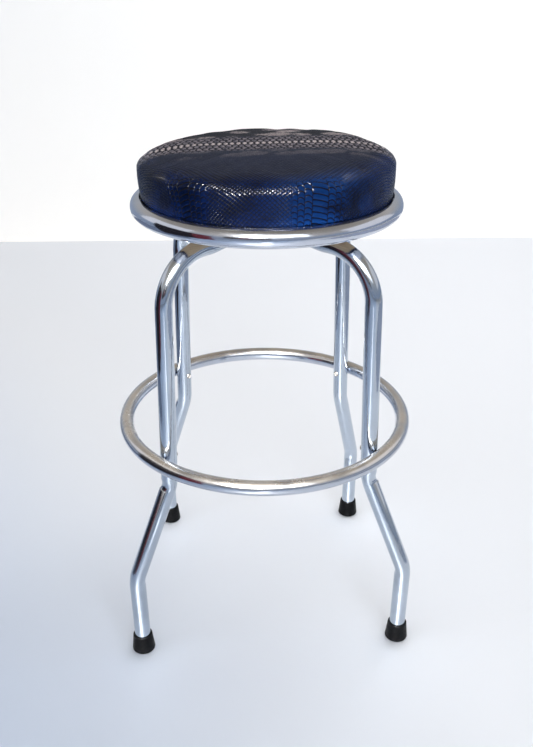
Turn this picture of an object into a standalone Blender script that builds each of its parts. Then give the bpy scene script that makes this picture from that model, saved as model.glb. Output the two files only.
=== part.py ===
"""Bar stool with a foot ring and a swivelling round seat.

Units are metres and +Z is up. The origin is on the floor, on the seat's turning axis.
"""
import math

import bmesh
import bpy
from mathutils import Matrix, Vector

MM = 0.001
GAP = 0.3 * MM                    # clearance between pieces that touch

# Leg tube
TUBE_RADIUS = 12.7 * MM
TUBE_WALL = 1.2 * MM
BEND_RADIUS = 60 * MM             # the two kinks below the foot ring
ELBOW_RADIUS = 76 * MM            # the bend under the seat
LEG_TOP_Z = 659 * MM              # centreline of the horizontal run
LEG_LEAN = 0.030                  # inward lean of the upper run, run over rise
UPPER_KINK_Z = 301 * MM
LOWER_KINK_RADIUS = 267 * MM      # distances from the turning axis
LOWER_KINK_Z = 145 * MM
FOOT_RADIUS = 265 * MM
# Plan directions in degrees from +X: (upper run, foot). The legs are bent by hand, so each foot
# stands a few degrees off its upper run, and the front pair is the wider one.
LEG_DIRECTIONS = {
    "front_left": (223.0, 219.6),
    "front_right": (321.2, 325.0),
    "rear_left": (135.0, 135.0),
    "rear_right": (45.7, 49.0),
}

# Pressed-flat inner end of each leg
FLAT_HALF_THICKNESS = 1.3 * MM
FLAT_START_RADIUS = 112 * MM      # the tube starts to flatten here
FLAT_FULL_RADIUS = 79 * MM        # and is flat from here inwards
FLAT_END_RADIUS = 30 * MM
FLAT_STEPS = 4

# Foot ring
RING_RADIUS = 226 * MM
RING_Z = 350 * MM
RING_TUBE_RADIUS = 11.2 * MM
RING_WALL = 1.2 * MM
RING_SEGMENTS = 44

# Rubber tips and their washers
TIP_BOTTOM_RADIUS = 18.4 * MM
TIP_TOP_RADIUS = 15.4 * MM
TIP_HEIGHT = 31 * MM
TIP_FLOOR = 7 * MM
TIP_EDGE = 2.5 * MM
WASHER_THICKNESS = 1.5 * MM
WASHER_HOLE_RADIUS = 4 * MM

# Screws, bolts and nuts: shank radius, head radius, head height
RING_SCREW = (2.3 * MM, 4.6 * MM, 2.6 * MM)
RING_SCREW_BITE = 5 * MM
LEG_BOLT = (3.0 * MM, 6.0 * MM, 3.3 * MM)
LEG_BOLT_RADIUS = 52 * MM
LEG_BOLT_TAIL = 3 * MM
LEG_NUT = (5.8 * MM, 5.0 * MM)    # corner radius, height
SEAT_SCREW = (2.3 * MM, 4.6 * MM, 2.4 * MM)
SEAT_SCREW_RADIUS = 64 * MM
SEAT_SCREW_DEPTH = 11 * MM
TRIM_SCREW = (1.6 * MM, 3.2 * MM, 1.6 * MM)
TRIM_SCREW_RADIUS = 171 * MM
TRIM_SCREW_TURN = 45              # degrees round from the seat screws
TRIM_SCREW_DEPTH = 9 * MM
THREAD_CLEARANCE = 0.3 * MM

# Swivel bearing
PLATE_THICKNESS = 3.0 * MM
LOWER_PLATE_RADIUS = 74 * MM
UPPER_PLATE_THICKNESS = 2.5 * MM
UPPER_PLATE_RADIUS = 78 * MM
UPPER_BOSS_RADIUS = 38 * MM
UPPER_SHOULDER_RADIUS = 48 * MM
RACE_RADIUS = 30 * MM
BALL_RADIUS = 4 * MM
BALL_COUNT = 8
RACE_DEPTH = 1.2 * MM
CAGE_HALF_WIDTH = 5.6 * MM
CAGE_THICKNESS = 1.0 * MM
PIVOT_RADIUS = 5.0 * MM
PIVOT_BOLT = (PIVOT_RADIUS, 9.2 * MM, 5.0 * MM)
PIVOT_WASHER_RADIUS = 11 * MM
PIVOT_NUT = (9.2 * MM, 8.0 * MM)

# Seat
SEAT_OFFSET = 4.0 * MM            # the board is screwed on this far off the turning axis
SEAT_RING_RADIUS = 186 * MM
SEAT_RING_Z = 703.4 * MM
SEAT_RING_SECTION = 13.6 * MM
SEAT_RING_WALL = 1.2 * MM
SEAT_RING_FLANGE_RADIUS = 166 * MM
SEAT_RING_LIP = 90                # degrees round the section, from outward
COVER_THICKNESS = 1.0 * MM
COVER_BASE_RADIUS = 183 * MM
COVER_HEM_RADIUS = 160 * MM
COVER_EDGE = 4 * MM               # rounding under the board's edge
FOAM_INSET = COVER_THICKNESS + GAP
BOARD_THICKNESS = 15 * MM
CUSHION_BASE_Z = 708 * MM
CUSHION_RADIUS = 185.5 * MM
CUSHION_WIDEST_Z = 758 * MM
CUSHION_TOP_Z = 786 * MM
CUSHION_SHOULDER = (4.5, 2.1)     # superellipse exponents: across, up
SEAT_SEGMENTS = 32
CUSHION_SIDE_STEPS = 3
CUSHION_TOP_STEPS = 6

ROUND = 12                        # sides of small turned pieces
PLATE_SEGMENTS = 28
Z_AXIS = Vector((0, 0, 1))


# ---------------------------------------------------------------- helpers

def clear_scene():
    for old in list(bpy.data.objects):
        bpy.data.objects.remove(old, do_unlink=True)


def material(name, colour, roughness, metallic=0.0):
    made = bpy.data.materials.new(name)
    made.use_nodes = True
    shader = made.node_tree.nodes["Principled BSDF"]
    shader.inputs["Base Color"].default_value = (*colour, 1.0)
    shader.inputs["Roughness"].default_value = roughness
    shader.inputs["Metallic"].default_value = metallic
    made.diffuse_color = (*colour, 1.0)
    return made


def add_object(name, bm, surface=None, smooth_angle=35):
    """Turn a bmesh into a named object with outward faces, shaded smooth up to an angle."""
    bmesh.ops.recalc_face_normals(bm, faces=bm.faces)
    mesh = bpy.data.meshes.new(name)
    bm.to_mesh(mesh)
    bm.free()
    if surface:
        mesh.materials.append(surface)
    mesh.shade_smooth()
    mesh.set_sharp_from_angle(angle=math.radians(smooth_angle))
    made = bpy.data.objects.new(name, mesh)
    bpy.context.collection.objects.link(made)
    return made


def polar(radius, degrees, z):
    turn = math.radians(degrees)
    return Vector((radius * math.cos(turn), radius * math.sin(turn), z))


def loft(bm, loops):
    """Skin equal loops of points and cap both ends. A loop of one point is a pole."""
    rings = [[bm.verts.new(point) for point in loop] for loop in loops]
    for low, high in zip(rings, rings[1:]):
        count = max(len(low), len(high))
        for i in range(count):
            j = (i + 1) % count
            corners = []
            for ring, index in ((low, i), (low, j), (high, j), (high, i)):
                vert = ring[index % len(ring)]
                if vert not in corners:
                    corners.append(vert)
            bm.faces.new(corners)
    for ring in (rings[0], rings[-1]):
        if len(ring) > 2:
            bm.faces.new(ring)


def turned(profile, sides, centre=lambda z: Vector((0, 0, z)), closed=False):
    """Turn (radius, z) points about an upright centre line; radius 0 is a pole. A closed profile
    is a loop clear of the centre line, such as a washer's."""
    bm = bmesh.new()
    loops = []
    for radius, z in profile:
        middle = centre(z)
        if radius == 0:
            loops.append([middle])
            continue
        angles = [2 * math.pi * k / sides for k in range(sides)]
        loops.append([middle + Vector((radius * math.cos(a), radius * math.sin(a), 0)) for a in angles])
    if not closed:
        loft(bm, loops)
        return bm
    rings = [[bm.verts.new(point) for point in loop] for loop in loops]
    for low, high in zip(rings, rings[1:] + rings[:1]):
        for i in range(sides):
            j = (i + 1) % sides
            bm.faces.new((low[i], low[j], high[j], high[i]))
    return bm


def arc(centre, radius, start, end, steps):
    """Points (r, z) on an arc of a turned profile; angles in degrees from outward."""
    points = []
    for k in range(steps + 1):
        turn = math.radians(start + (end - start) * k / steps)
        points.append((centre[0] + radius * math.cos(turn), centre[1] + radius * math.sin(turn)))
    return points


def rod(bm, start, end, radius, sides=ROUND):
    """Add a plain cylinder between two points."""
    along = (end - start).normalized()
    side = along.orthogonal().normalized()
    other = along.cross(side)
    loops = []
    for middle in (start, end):
        angles = [2 * math.pi * (k + 0.5) / sides for k in range(sides)]
        loops.append([middle + radius * (side * math.cos(a) + other * math.sin(a)) for a in angles])
    loft(bm, loops)


def cut(target, name, bm):
    """Subtract a bmesh from an object with a live Boolean; the cutter stays as a guide."""
    cutter = add_object(name, bm)
    cutter.hide_render = True
    cutter.display_type = "WIRE"
    boolean = target.modifiers.new(name, "BOOLEAN")
    boolean.operation = "DIFFERENCE"
    boolean.solver = "EXACT"
    boolean.object = cutter


def screw(name, seat, along, size, length, surface, sides=8):
    """A domed-head screw or bolt: its head's underside is at seat, its shank runs along."""
    shank, head, height = size
    profile = [(0, -height), (0.6 * head, -0.85 * height), (head, -0.25 * height), (head, 0),
               (shank, 0), (shank, length - 0.8 * shank), (0.4 * shank, length), (0, length)]
    made = add_object(name, turned(profile, sides), surface)
    made.matrix_world = Matrix.Translation(seat) @ Z_AXIS.rotation_difference(along).to_matrix().to_4x4()
    return made


def nut(name, low_z, position, corner_radius, height, bore, surface):
    """A hexagon nut, standing on low_z, with a plain bore."""
    body = bmesh.new()
    base = Vector((position.x, position.y, low_z))
    rod(body, base, base + Vector((0, 0, height)), corner_radius, 6)
    made = add_object(name, body, surface)
    hole = bmesh.new()
    rod(hole, base - Vector((0, 0, 1 * MM)), base + Vector((0, 0, height + 1 * MM)), bore)
    cut(made, name + "_bore", hole)
    return made


# ---------------------------------------------------------------- legs

def upper_radius(z):
    """Distance of the upper run's centreline from the axis; it touches the foot ring."""
    contact = RING_RADIUS - RING_TUBE_RADIUS - GAP - TUBE_RADIUS
    return contact - LEG_LEAN * (z - RING_Z)


def foot_axis(name):
    """Centreline of the lowest run as a function of height."""
    foot = polar(FOOT_RADIUS, LEG_DIRECTIONS[name][1], 0)
    kink = polar(LOWER_KINK_RADIUS, LEG_DIRECTIONS[name][1], LOWER_KINK_Z)
    return lambda z: foot.lerp(kink, z / LOWER_KINK_Z)


def bend(before, corner, after, radius, steps):
    """Replace a corner by an arc: returns (point, tangent) pairs."""
    into = (corner - before).normalized()
    out = (after - corner).normalized()
    turn = into.angle(out)
    tangent_length = radius * math.tan(turn / 2)
    start = corner - into * tangent_length
    normal = (out - into * into.dot(out)).normalized()
    centre = start + normal * radius
    points = []
    for k in range(steps + 1):
        a = turn * k / steps
        points.append((centre + radius * (into * math.sin(a) - normal * math.cos(a)),
                       into * math.cos(a) + normal * math.sin(a)))
    return points


def leg_stations(name, foot_z):
    """Sections of a leg: (point, tangent, flatness) from the foot to the flat inner end."""
    upper = LEG_DIRECTIONS[name][0]
    foot = foot_axis(name)(foot_z)
    lower_kink = foot_axis(name)(LOWER_KINK_Z)
    upper_kink = polar(upper_radius(UPPER_KINK_Z), upper, UPPER_KINK_Z)
    elbow = polar(upper_radius(LEG_TOP_Z), upper, LEG_TOP_Z)
    inner = polar(FLAT_END_RADIUS, upper, LEG_TOP_Z)
    path = [(foot, Z_AXIS)]
    path += bend(foot, lower_kink, upper_kink, BEND_RADIUS, 3)
    path += bend(lower_kink, upper_kink, elbow, BEND_RADIUS, 3)
    path += bend(upper_kink, elbow, inner, ELBOW_RADIUS, 8)
    stations = [(point, tangent, 0.0) for point, tangent in path]
    inward = (inner - elbow).normalized()
    for k in range(FLAT_STEPS + 1):
        share = k / FLAT_STEPS
        radius = FLAT_START_RADIUS + (FLAT_FULL_RADIUS - FLAT_START_RADIUS) * share
        flatness = share * share * (3 - 2 * share)
        stations.append((polar(radius, upper, LEG_TOP_Z), inward, flatness))
    stations.append((inner, inward, 1.0))
    return stations


def tube_loop(station, side, sides, wall=0.0):
    """Section of the leg tube: round, or pressed flat to the same girth."""
    point, tangent, flatness = station
    across = (side - tangent * side.dot(tangent)).normalized()
    up = across.cross(tangent)
    half_height = TUBE_RADIUS + (FLAT_HALF_THICKNESS - TUBE_RADIUS) * flatness
    half_width = half_height + math.pi / 2 * (TUBE_RADIUS - half_height)
    edge = half_height - wall
    straight = half_width - half_height
    loop = []
    for k in range(sides):
        a = 2 * math.pi * (k + 0.5) / sides
        shift = math.copysign(straight, math.cos(a))
        loop.append(point + across * (shift + edge * math.cos(a)) + up * edge * math.sin(a))
    return loop


def make_legs(chrome):
    foot_z = TIP_FLOOR + WASHER_THICKNESS + 2 * GAP
    for name, (upper, _) in LEG_DIRECTIONS.items():
        side = polar(1, upper + 90, 0)
        stations = leg_stations(name, foot_z)
        body = bmesh.new()
        loft(body, [tube_loop(station, side, 14) for station in stations])
        leg = add_object("leg_" + name, body, chrome)

        below = (stations[0][0] - Vector((0, 0, 2 * MM)), Z_AXIS, 0.0)
        hollow = [station for station in stations if station[2] < 0.8]
        cavity = bmesh.new()
        loft(cavity, [tube_loop(station, side, 10, TUBE_WALL) for station in [below] + hollow])
        cut(leg, "cavity_" + name, cavity)

        holes = bmesh.new()
        middle = upper_radius(RING_Z)
        rod(holes, polar(middle - 20 * MM, upper, RING_Z), polar(middle + 20 * MM, upper, RING_Z),
            RING_SCREW[0] + THREAD_CLEARANCE, 8)
        bolt = polar(LEG_BOLT_RADIUS, upper, LEG_TOP_Z)
        rod(holes, bolt - Z_AXIS * 5 * MM, bolt + Z_AXIS * 5 * MM, LEG_BOLT[0] + THREAD_CLEARANCE)
        cut(leg, "holes_" + name, holes)


# ---------------------------------------------------------------- foot ring

def ring_mesh(section, sides):
    profile = arc((RING_RADIUS, RING_Z), section, 0, 360, sides)[:-1]
    return turned(profile, RING_SEGMENTS, closed=True)


def make_foot_ring(chrome, steel):
    ring = add_object("foot_ring", ring_mesh(RING_TUBE_RADIUS, 10), chrome)
    cut(ring, "cavity_foot_ring", ring_mesh(RING_TUBE_RADIUS - RING_WALL, 8))
    holes = bmesh.new()
    inner_wall = RING_RADIUS - RING_TUBE_RADIUS
    head_seat = upper_radius(RING_Z) - TUBE_RADIUS - GAP
    for name, (upper, _) in LEG_DIRECTIONS.items():
        rod(holes, polar(inner_wall - 4 * MM, upper, RING_Z), polar(inner_wall + 7 * MM, upper, RING_Z),
            RING_SCREW[0] + THREAD_CLEARANCE, 8)
        screw("ring_screw_" + name, polar(head_seat, upper, RING_Z), polar(1, upper, 0), RING_SCREW,
              inner_wall + RING_SCREW_BITE - head_seat, steel)
    cut(ring, "holes_foot_ring", holes)


# ---------------------------------------------------------------- rubber tips

def make_tips(rubber, steel):
    bore = TUBE_RADIUS + GAP
    edge = arc((TIP_BOTTOM_RADIUS - TIP_EDGE, TIP_EDGE), TIP_EDGE, -90, 0, 2)
    profile = [(0, 0)] + edge + [(TIP_TOP_RADIUS, TIP_HEIGHT), (bore, TIP_HEIGHT),
                                 (bore, TIP_FLOOR), (0, TIP_FLOOR)]
    low = TIP_FLOOR + GAP
    washer = [(WASHER_HOLE_RADIUS, low), (TUBE_RADIUS - GAP, low),
              (TUBE_RADIUS - GAP, low + WASHER_THICKNESS), (WASHER_HOLE_RADIUS, low + WASHER_THICKNESS)]
    for name in LEG_DIRECTIONS:
        axis = foot_axis(name)
        add_object("tip_" + name, turned(profile, 18, axis), rubber)
        add_object("tip_washer_" + name, turned(washer, ROUND, axis, closed=True), steel)


# ---------------------------------------------------------------- swivel bearing

LOWER_PLATE_Z = LEG_TOP_Z + FLAT_HALF_THICKNESS + GAP
LOWER_PLATE_TOP = LOWER_PLATE_Z + PLATE_THICKNESS
BALL_Z = LOWER_PLATE_TOP - RACE_DEPTH + GAP + BALL_RADIUS
UPPER_BOSS_Z = BALL_Z + BALL_RADIUS + GAP - RACE_DEPTH
COVER_BOTTOM = SEAT_RING_Z - SEAT_RING_SECTION + SEAT_RING_WALL + GAP
BOARD_Z = COVER_BOTTOM + COVER_THICKNESS + GAP
UPPER_FLANGE_TOP = BOARD_Z - GAP
UPPER_FLANGE_Z = UPPER_FLANGE_TOP - UPPER_PLATE_THICKNESS


def race(surface_z, side):
    """Profile of the ball groove, outwards. side is 1 for a groove open upwards, -1 downwards."""
    groove = BALL_RADIUS + GAP
    half = math.degrees(math.acos((groove - RACE_DEPTH) / groove))
    centre = (RACE_RADIUS, surface_z + side * (groove - RACE_DEPTH))
    return arc(centre, groove, side * (-90 - half), side * (-90 + half), 4)


def make_lower_plate(steel):
    bore = PIVOT_RADIUS + GAP
    profile = [(bore, LOWER_PLATE_Z), (LOWER_PLATE_RADIUS, LOWER_PLATE_Z),
               (LOWER_PLATE_RADIUS, LOWER_PLATE_TOP)]
    profile += reversed(race(LOWER_PLATE_TOP, 1))
    profile += [(bore, LOWER_PLATE_TOP)]
    plate = add_object("swivel_lower_plate", turned(profile, PLATE_SEGMENTS, closed=True), steel)
    holes = bmesh.new()
    for upper, _ in LEG_DIRECTIONS.values():
        middle = polar(LEG_BOLT_RADIUS, upper, LOWER_PLATE_Z)
        rod(holes, middle - Z_AXIS * 2 * MM, middle + Z_AXIS * 6 * MM, LEG_BOLT[0] + THREAD_CLEARANCE)
    cut(plate, "holes_lower_plate", holes)


def make_leg_bolts(steel):
    head_seat = LOWER_PLATE_TOP + GAP
    nut_low = LEG_TOP_Z - FLAT_HALF_THICKNESS - GAP - LEG_NUT[1]
    length = head_seat - nut_low + LEG_BOLT_TAIL
    for name, (upper, _) in LEG_DIRECTIONS.items():
        position = polar(LEG_BOLT_RADIUS, upper, head_seat)
        screw("leg_bolt_" + name, position, -Z_AXIS, LEG_BOLT, length, steel)
        nut("leg_nut_" + name, nut_low, position, *LEG_NUT, LEG_BOLT[0] + THREAD_CLEARANCE, steel)


def make_ball_cage(brass, steel):
    low = BALL_Z - CAGE_THICKNESS / 2
    high = BALL_Z + CAGE_THICKNESS / 2
    inner = RACE_RADIUS - CAGE_HALF_WIDTH
    outer = RACE_RADIUS + CAGE_HALF_WIDTH
    profile = [(inner, low), (outer, low), (outer, high), (inner, high)]
    cage = add_object("ball_cage", turned(profile, PLATE_SEGMENTS, closed=True), brass)
    pockets = bmesh.new()
    moving = [cage]
    for k in range(BALL_COUNT):
        middle = polar(RACE_RADIUS, 360 * k / BALL_COUNT, BALL_Z)
        rod(pockets, middle - Z_AXIS * 2 * MM, middle + Z_AXIS * 2 * MM, BALL_RADIUS + GAP, 10)
        ball = bmesh.new()
        bmesh.ops.create_icosphere(ball, subdivisions=2, radius=BALL_RADIUS)
        made = add_object("ball_%d" % (k + 1), ball, steel, smooth_angle=60)
        made.location = middle
        moving.append(made)
    cut(cage, "pockets_ball_cage", pockets)
    return moving


def make_upper_plate(steel):
    """A pressed dish: its boss runs on the balls and its flange carries the seat board."""
    bore = PIVOT_RADIUS + GAP
    boss_top = UPPER_BOSS_Z + UPPER_PLATE_THICKNESS
    profile = [(bore, boss_top), (bore, UPPER_BOSS_Z)]
    profile += race(UPPER_BOSS_Z, -1)
    profile += [(UPPER_BOSS_RADIUS, UPPER_BOSS_Z), (UPPER_SHOULDER_RADIUS, UPPER_FLANGE_Z),
                (UPPER_PLATE_RADIUS, UPPER_FLANGE_Z), (UPPER_PLATE_RADIUS, UPPER_FLANGE_TOP),
                (UPPER_SHOULDER_RADIUS - 0.5 * UPPER_PLATE_THICKNESS, UPPER_FLANGE_TOP),
                (UPPER_BOSS_RADIUS - 0.8 * UPPER_PLATE_THICKNESS, boss_top)]
    plate = add_object("swivel_upper_plate", turned(profile, PLATE_SEGMENTS, closed=True), steel)
    holes = bmesh.new()
    moving = [plate]
    length = BOARD_Z - UPPER_FLANGE_Z + GAP + SEAT_SCREW_DEPTH
    for k in range(4):
        seat = polar(SEAT_SCREW_RADIUS, 90 * k, UPPER_FLANGE_Z - GAP)
        rod(holes, seat - Z_AXIS * 1 * MM, seat + Z_AXIS * 5 * MM, SEAT_SCREW[0] + THREAD_CLEARANCE, 8)
        moving.append(screw("seat_screw_%d" % (k + 1), seat, Z_AXIS, SEAT_SCREW, length, steel))
    cut(plate, "holes_upper_plate", holes)
    return moving


def make_pivot(steel):
    """Centre bolt, thrust washer and lock nut: they stay with the frame and hold the dish down."""
    head_seat = LOWER_PLATE_Z - GAP
    washer_low = UPPER_BOSS_Z + UPPER_PLATE_THICKNESS + GAP
    washer_high = washer_low + WASHER_THICKNESS
    nut_low = washer_high + GAP
    length = nut_low + PIVOT_NUT[1] + LEG_BOLT_TAIL - head_seat
    screw("pivot_bolt", Vector((0, 0, head_seat)), Z_AXIS, PIVOT_BOLT, length, steel, sides=ROUND)
    bore = PIVOT_RADIUS + GAP
    profile = [(bore, washer_low), (PIVOT_WASHER_RADIUS, washer_low),
               (PIVOT_WASHER_RADIUS, washer_high), (bore, washer_high)]
    add_object("pivot_washer", turned(profile, 16, closed=True), steel)
    nut("pivot_nut", nut_low, Vector((0, 0, 0)), *PIVOT_NUT, bore, steel)


# ---------------------------------------------------------------- seat

def seat_centre(z):
    return Vector((SEAT_OFFSET, 0, z))


def covered_edge(inset):
    """The rounded edge where the cover turns under the board, moved in by inset."""
    centre = (COVER_BASE_RADIUS - COVER_EDGE, COVER_BOTTOM + COVER_EDGE)
    return arc(centre, COVER_EDGE - inset, -90, 0, 2)


def make_seat_board(wood):
    top = BOARD_Z + BOARD_THICKNESS
    profile = [(0, BOARD_Z)] + covered_edge(FOAM_INSET) + [(COVER_BASE_RADIUS - FOAM_INSET, top), (0, top)]
    board = add_object("seat_board", turned(profile, SEAT_SEGMENTS, seat_centre), wood)
    holes = bmesh.new()
    for k in range(4):
        seat_screw = polar(SEAT_SCREW_RADIUS, 90 * k, BOARD_Z)
        for size, middle, depth in ((SEAT_SCREW, seat_screw, SEAT_SCREW_DEPTH),
                                    (TRIM_SCREW, trim_screw_place(k, BOARD_Z), TRIM_SCREW_DEPTH)):
            rod(holes, middle - Z_AXIS * 1 * MM, middle + Z_AXIS * (depth + 1 * MM),
                size[0] + THREAD_CLEARANCE, 8)
    cut(board, "holes_seat_board", holes)
    return board


def trim_screw_place(k, z):
    return seat_centre(0) + polar(TRIM_SCREW_RADIUS, 90 * k + TRIM_SCREW_TURN, z)


def trim_holes():
    """Clearance holes for the four small screws that hold the seat ring and the cover's hem."""
    holes = bmesh.new()
    for k in range(4):
        middle = trim_screw_place(k, BOARD_Z)
        rod(holes, middle - Z_AXIS * 5 * MM, middle + Z_AXIS * 2 * MM, TRIM_SCREW[0] + THREAD_CLEARANCE, 8)
    return holes


def make_seat_ring(chrome, steel):
    """A rolled band: a round outer section, open inwards, with a flat flange under the board."""
    centre = (SEAT_RING_RADIUS, SEAT_RING_Z)
    low = SEAT_RING_Z - SEAT_RING_SECTION
    profile = arc(centre, SEAT_RING_SECTION, SEAT_RING_LIP, -90, 7)
    profile += [(SEAT_RING_FLANGE_RADIUS, low), (SEAT_RING_FLANGE_RADIUS, low + SEAT_RING_WALL)]
    profile += arc(centre, SEAT_RING_SECTION - SEAT_RING_WALL, -90, SEAT_RING_LIP, 5)
    ring = add_object("seat_ring", turned(profile, RING_SEGMENTS, seat_centre, closed=True), chrome)
    cut(ring, "holes_seat_ring", trim_holes())
    moving = [ring]
    length = BOARD_Z + TRIM_SCREW_DEPTH - low
    for k in range(4):
        place = trim_screw_place(k, low - GAP)
        moving.append(screw("trim_screw_%d" % (k + 1), place, Z_AXIS, TRIM_SCREW, length, steel))
    return moving


def cushion_outline(inset):
    """Side and top of the cushion, from the seat ring's lip up to the crown, moved in by inset."""
    base = COVER_BASE_RADIUS - inset
    widest = CUSHION_RADIUS - inset
    top = CUSHION_TOP_Z - inset
    across, up = CUSHION_SHOULDER
    points = []
    for k in range(CUSHION_SIDE_STEPS):
        share = k / CUSHION_SIDE_STEPS
        points.append((base + (widest - base) * math.sin(share * math.pi / 2),
                       CUSHION_BASE_Z + (CUSHION_WIDEST_Z - CUSHION_BASE_Z) * share))
    for k in range(CUSHION_TOP_STEPS):
        a = math.pi / 2 * k / CUSHION_TOP_STEPS
        points.append((widest * math.cos(a) ** (2 / across),
                       CUSHION_WIDEST_Z + (top - CUSHION_WIDEST_Z) * math.sin(a) ** (2 / up)))
    points.append((0, top))
    return points


def cover_side(inset):
    """One face of the cover: from the hem under the board, round its edge and up to the crown."""
    return [(COVER_HEM_RADIUS, COVER_BOTTOM + inset)] + covered_edge(inset) + cushion_outline(inset)


def make_cushion(vinyl, foam):
    profile = list(reversed(cover_side(0))) + cover_side(COVER_THICKNESS)
    cover = add_object("seat_cover", turned(profile, SEAT_SEGMENTS, seat_centre), vinyl)
    cut(cover, "holes_seat_cover", trim_holes())

    low = BOARD_Z + BOARD_THICKNESS + GAP
    outline = [(0, low), (COVER_BASE_RADIUS - FOAM_INSET, low)] + cushion_outline(FOAM_INSET)
    pad = add_object("seat_foam", turned(outline, SEAT_SEGMENTS, seat_centre), foam)
    return [cover, pad]


# ---------------------------------------------------------------- the stool

def main():
    clear_scene()
    chrome = material("chrome", (0.80, 0.81, 0.83), 0.10, 1.0)
    steel = material("zinc_steel", (0.55, 0.55, 0.56), 0.35, 1.0)
    brass = material("cage_brass", (0.72, 0.56, 0.28), 0.35, 1.0)
    rubber = material("black_rubber", (0.02, 0.02, 0.022), 0.60)
    vinyl = material("navy_vinyl", (0.02, 0.04, 0.12), 0.30)
    foam = material("foam", (0.85, 0.80, 0.62), 0.90)
    wood = material("plywood", (0.62, 0.47, 0.30), 0.70)

    make_legs(chrome)
    make_foot_ring(chrome, steel)
    make_tips(rubber, steel)
    make_lower_plate(steel)
    make_leg_bolts(steel)
    make_pivot(steel)

    turning = {
        "ball_cage_axis": make_ball_cage(brass, steel),
        "seat_axis": (make_upper_plate(steel) + [make_seat_board(wood)]
                      + make_seat_ring(chrome, steel) + make_cushion(vinyl, foam)),
    }
    for name, pieces in turning.items():
        axis = bpy.data.objects.new(name, None)
        bpy.context.collection.objects.link(axis)
        for piece in pieces:
            piece.parent = axis


main()
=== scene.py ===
import math

import bmesh
import bpy
import numpy as np
from mathutils import Matrix, Vector
from mathutils.bvhtree import BVHTree


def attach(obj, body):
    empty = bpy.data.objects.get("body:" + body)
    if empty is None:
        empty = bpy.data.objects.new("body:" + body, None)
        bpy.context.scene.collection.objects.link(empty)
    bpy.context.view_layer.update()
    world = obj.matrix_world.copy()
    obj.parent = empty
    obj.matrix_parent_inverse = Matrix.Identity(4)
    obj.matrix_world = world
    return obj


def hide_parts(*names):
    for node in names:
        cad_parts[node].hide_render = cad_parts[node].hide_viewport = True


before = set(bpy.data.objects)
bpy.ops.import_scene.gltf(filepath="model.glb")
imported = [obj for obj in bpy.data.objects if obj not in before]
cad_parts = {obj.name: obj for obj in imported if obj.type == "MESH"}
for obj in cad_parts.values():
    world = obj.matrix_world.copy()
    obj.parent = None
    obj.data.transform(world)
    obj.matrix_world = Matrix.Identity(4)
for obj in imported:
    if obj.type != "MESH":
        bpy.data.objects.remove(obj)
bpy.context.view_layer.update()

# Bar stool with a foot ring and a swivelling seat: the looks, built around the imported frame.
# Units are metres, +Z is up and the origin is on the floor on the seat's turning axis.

MM = 0.001
Z_AXIS = Vector((0, 0, 1))

# Legs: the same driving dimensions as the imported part
TUBE_RADIUS = 12.7 * MM
BEND_RADIUS = 60 * MM
ELBOW_RADIUS = 76 * MM
LEG_TOP_Z = 659 * MM
LEG_LEAN = 0.030
UPPER_KINK_Z = 301 * MM
LOWER_KINK_RADIUS = 267 * MM
LOWER_KINK_Z = 145 * MM
FOOT_RADIUS = 265 * MM
LEG_FOOT_Z = 9.1 * MM
LEG_DIRECTIONS = {                # plan directions in degrees: upper run, foot
    "front_left": (223.0, 219.6),
    "front_right": (321.2, 325.0),
    "rear_left": (135.0, 135.0),
    "rear_right": (45.7, 49.0),
}
KINK_DENT = 2.2 * MM               # how far the tube's inner side is pressed in at the upper kink
ELBOW_DENT = 0.9 * MM              # and at the lower kink and the elbow
OUTER_DENT = 0.25                  # the outer side gives this share of the inner side's dent
DENT_SKEW = 0.7                    # below 1 the dent is deepest before the middle of the bend
FLAT_HALF_THICKNESS = 1.3 * MM
FLAT_START_RADIUS = 112 * MM
FLAT_FULL_RADIUS = 79 * MM
FLAT_END_RADIUS = 30 * MM
KINK_STEPS = 24
ELBOW_STEPS = 36
FLAT_STEPS = 14
TUBE_SIDES = 48

RING_RADIUS = 226 * MM
RING_Z = 350 * MM
RING_TUBE_RADIUS = 11.2 * MM
CONTACT_GAP = 0.3 * MM
SCREW_HEAD_RADIUS = 4.6 * MM
SCREW_HEAD_HEIGHT = 2.6 * MM
SCREW_SHANK_RADIUS = 2.3 * MM
SCREW_BITE = 5 * MM                # how far a ring screw reaches into the ring
RECESS_ARM = 0.13                 # the cross recess, in shares of the head's radius and height
RECESS_REACH = 0.62
RECESS_DEPTH = 0.45

TIP_BOTTOM_RADIUS = 18.4 * MM
TIP_TOP_RADIUS = 15.4 * MM
TIP_HEIGHT = 31 * MM
TIP_FLOOR = 7 * MM
TIP_EDGE = 2.5 * MM
TIP_LIP = 1.1 * MM
TIP_MOUTH = 0.4 * MM               # the bore starts this far below the top
TREAD_RADII = (4 * MM, 8 * MM, 12 * MM)
TREAD_WIDTH = 2 * MM
TREAD_DEPTH = 0.7 * MM
TREAD_SLOPE = 0.4 * MM
DUST_TOP_Z = 12 * MM

SEAT_OFFSET = 4.0 * MM            # the seat is screwed on this far off the turning axis
SEAT_RING_RADIUS = 186 * MM
SEAT_RING_Z = 703.4 * MM
SEAT_RING_SECTION = 13.6 * MM
SEAT_RING_WALL = 1.2 * MM
SEAT_RING_FLANGE_RADIUS = 166 * MM
SEAT_RING_LIP = 90                # the curled sheet ends straight above its section's middle
RING_SIDES = 288

COVER_BASE_RADIUS = 183 * MM
COVER_HEM_RADIUS = 160 * MM
COVER_EDGE = 4 * MM
COVER_THICKNESS = 1 * MM
CUSHION_BASE_Z = 708 * MM
CUSHION_RADIUS = 185.5 * MM
CUSHION_WIDEST_Z = 758 * MM
CUSHION_TOP_Z = 786 * MM
CUSHION_SHOULDER = (4.5, 2.1)


# ---------------------------------------------------------------- mesh helpers

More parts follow.
